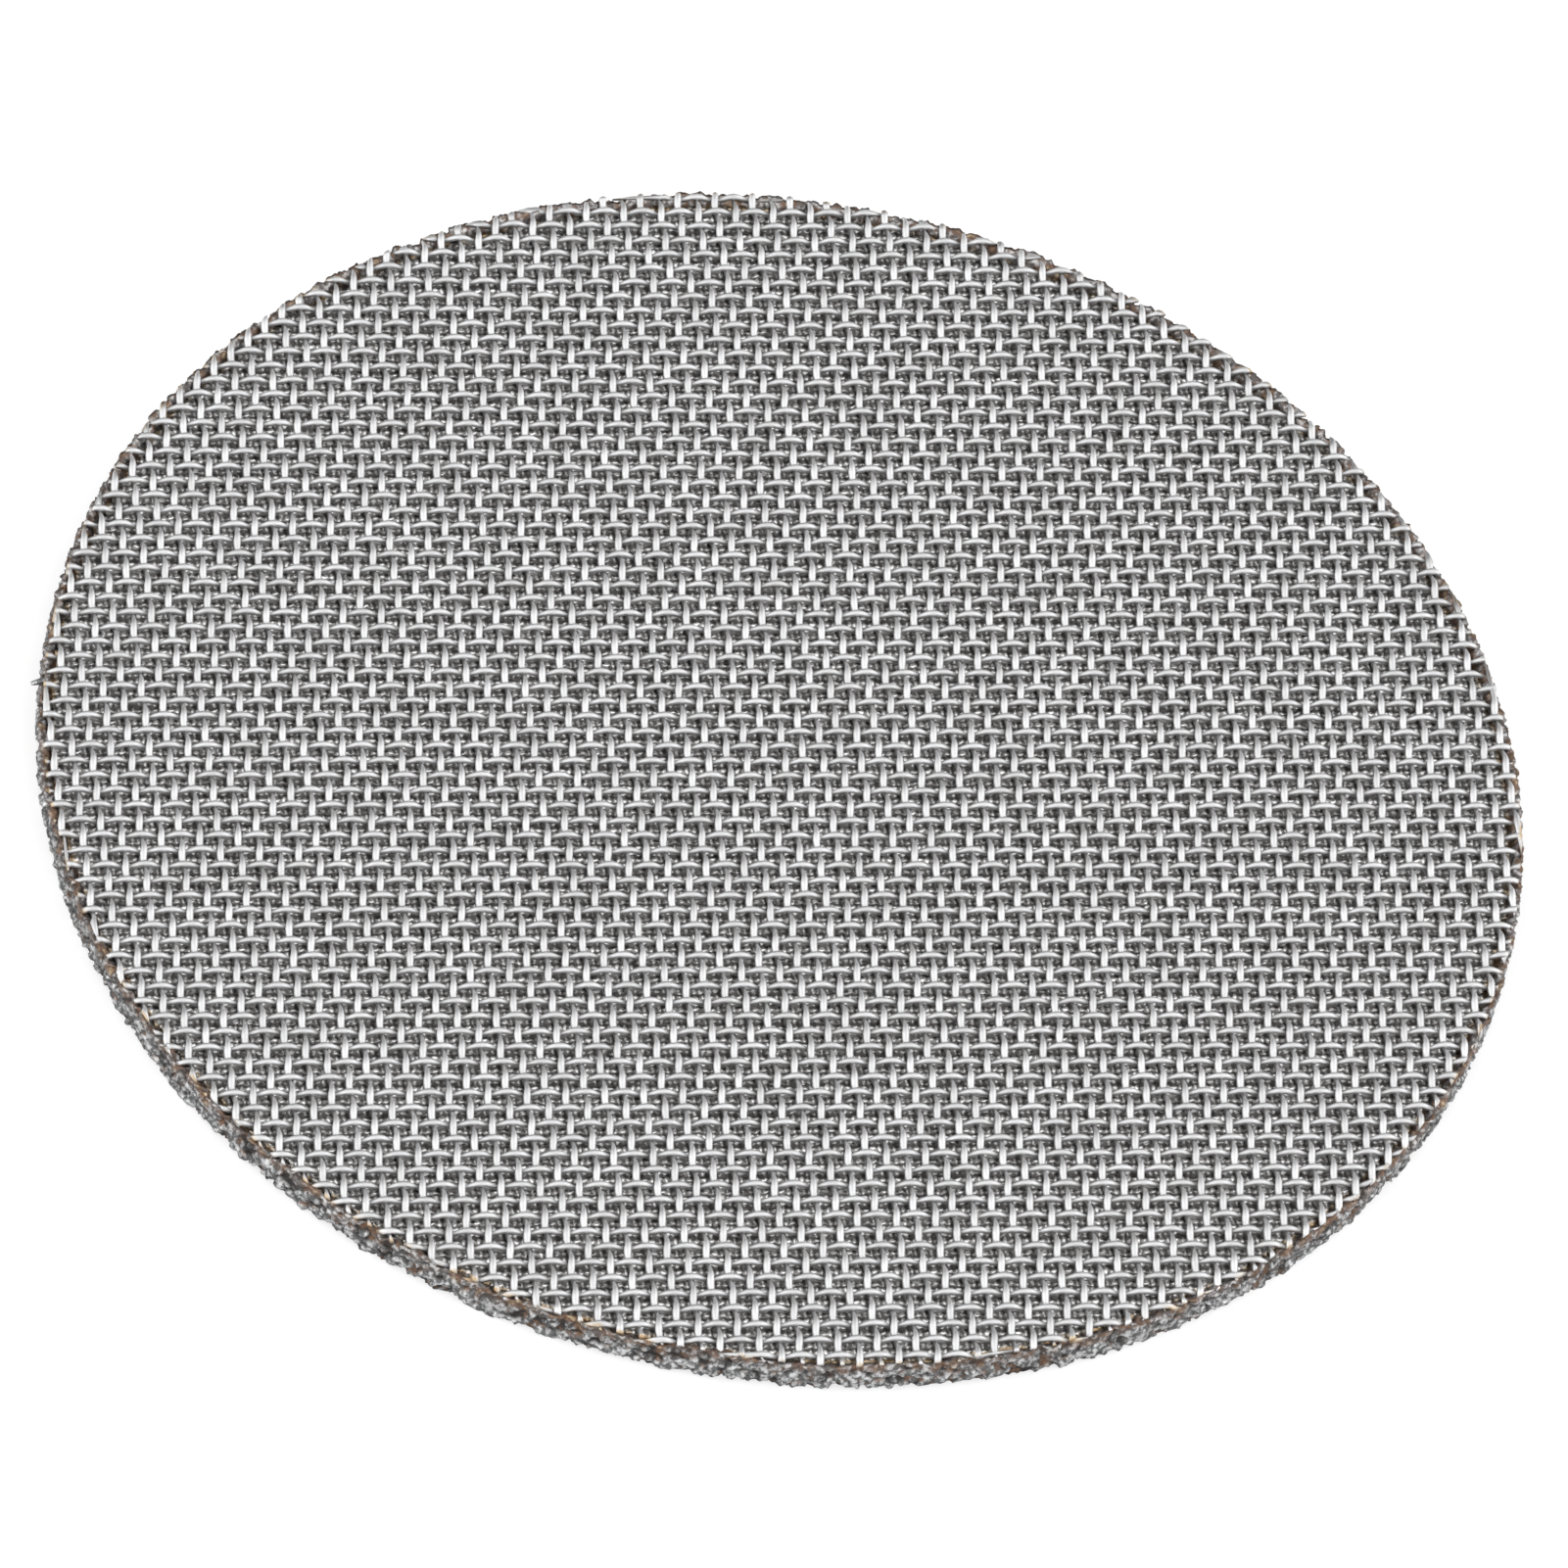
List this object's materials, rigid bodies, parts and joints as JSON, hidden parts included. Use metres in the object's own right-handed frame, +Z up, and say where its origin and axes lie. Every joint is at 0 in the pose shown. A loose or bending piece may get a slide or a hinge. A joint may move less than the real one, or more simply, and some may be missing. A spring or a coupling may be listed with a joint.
{
  "type": "sintered mesh filter disc",
  "caption": "Flat round disc of woven stainless wire mesh, sintered into one piece, that lies on the coffee in a filter basket and spreads the water.",
  "frame": {"origin": "centre of the underside, at the level of the lower wire crests", "axes": "+Z up through the thickness, +X and +Y along the two directions of the wires"},
  "size_m": [0.0584, 0.0584, 0.0017],
  "materials": {
    "steel_mesh": "satin bare stainless wire with a brown heat tint along the cut rim"
  },
  "bodies": {
    "root": {"mesh_disc": "steel_mesh"}
  },
  "joints": []
}
